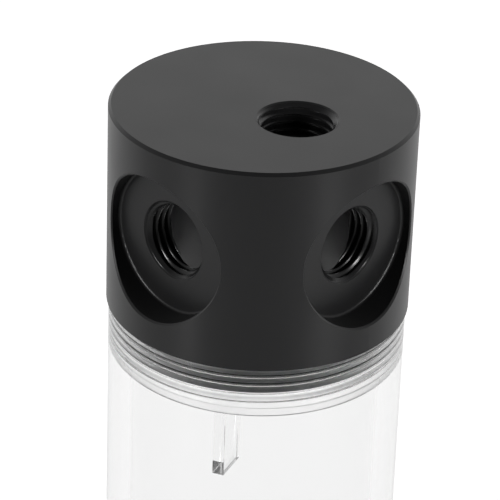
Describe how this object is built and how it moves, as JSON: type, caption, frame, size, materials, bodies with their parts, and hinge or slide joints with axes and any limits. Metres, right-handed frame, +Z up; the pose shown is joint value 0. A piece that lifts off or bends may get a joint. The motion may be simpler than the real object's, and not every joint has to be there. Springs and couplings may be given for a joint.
{
  "type": "water cooling reservoir",
  "caption": "Clear round coolant reservoir: a tube screwed between two black end caps with threaded side and end ports, sealed by rubber rings.",
  "frame": {"origin": "centre of the lower cap's flat face, where the reservoir stands", "axes": "+Z up along the tube; +X and -Y through the two side ports that the picture shows, +X also towards the top port"},
  "size_m": [0.0508, 0.0508, 0.201],
  "materials": {
    "black_acetal": "satin turned acetal",
    "clear_acrylic": "clear polished acrylic",
    "ring_rubber": "matt black rubber"
  },
  "bodies": {
    "base": {"bottom_cap": "black_acetal"},
    "lower_ring": {"bottom_cap_o_ring": "ring_rubber"},
    "tube": {"clear_tube": "clear_acrylic"},
    "upper_ring": {"top_cap_o_ring": "ring_rubber"},
    "lid": {"top_cap": "black_acetal", "flow_vane": "clear_acrylic"},
    "right_ring": {"right_plug_o_ring": "ring_rubber"},
    "right_plug": {"right_stop_plug": "black_acetal"},
    "back_ring": {"back_plug_o_ring": "ring_rubber"},
    "back_plug": {"back_stop_plug": "black_acetal"},
    "left_ring": {"left_plug_o_ring": "ring_rubber"},
    "left_plug": {"left_stop_plug": "black_acetal"},
    "front_ring": {"front_plug_o_ring": "ring_rubber"},
    "front_plug": {"front_stop_plug": "black_acetal"}
  },
  "joints": [
    {"name": "tube_rise", "type": "slide", "parent": "base", "child": "lower_ring", "axis": [0, 0, 1], "range_m": [0, 0.006]},
    {"name": "tube_turn", "type": "hinge", "parent": "lower_ring", "child": "tube", "pos_m": [0, 0, 0.0355], "axis": [0, 0, 1], "range_deg": [0, 1445]},
    {"name": "cap_rise", "type": "slide", "parent": "tube", "child": "upper_ring", "axis": [0, 0, 1], "range_m": [0, 0.006]},
    {"name": "cap_turn", "type": "hinge", "parent": "upper_ring", "child": "lid", "pos_m": [0, 0, 0.1655], "axis": [0, 0, 1], "range_deg": [0, 1445]},
    {"name": "right_plug_out", "type": "slide", "parent": "base", "child": "right_ring", "axis": [1, 0, 0], "range_m": [0, 0.00468]},
    {"name": "right_plug_turn", "type": "hinge", "parent": "right_ring", "child": "right_plug", "pos_m": [0.02015, 0, 0.018], "axis": [1, 0, 0], "range_deg": [0, 1265]},
    {"name": "back_plug_out", "type": "slide", "parent": "base", "child": "back_ring", "axis": [0, 1, 0], "range_m": [0, 0.00468]},
    {"name": "back_plug_turn", "type": "hinge", "parent": "back_ring", "child": "back_plug", "pos_m": [0, 0.02015, 0.018], "axis": [0, 1, 0], "range_deg": [0, 1265]},
    {"name": "left_plug_out", "type": "slide", "parent": "base", "child": "left_ring", "axis": [-1, 0, 0], "range_m": [0, 0.00468]},
    {"name": "left_plug_turn", "type": "hinge", "parent": "left_ring", "child": "left_plug", "pos_m": [-0.02015, 0, 0.018], "axis": [-1, 0, 0], "range_deg": [0, 1265]},
    {"name": "front_plug_out", "type": "slide", "parent": "base", "child": "front_ring", "axis": [0, -1, 0], "range_m": [0, 0.00468]},
    {"name": "front_plug_turn", "type": "hinge", "parent": "front_ring", "child": "front_plug", "pos_m": [0, -0.02015, 0.018], "axis": [0, -1, 0], "range_deg": [0, 1265]}
  ],
  "couplings": [
    {"joint": "tube_turn", "follows": "tube_rise", "rad_per_m": 4188.8},
    {"joint": "cap_turn", "follows": "cap_rise", "rad_per_m": 4188.8},
    {"joint": "right_plug_turn", "follows": "right_plug_out", "rad_per_m": 4699.5},
    {"joint": "back_plug_turn", "follows": "back_plug_out", "rad_per_m": 4699.5},
    {"joint": "left_plug_turn", "follows": "left_plug_out", "rad_per_m": 4699.5},
    {"joint": "front_plug_turn", "follows": "front_plug_out", "rad_per_m": 4699.5}
  ]
}
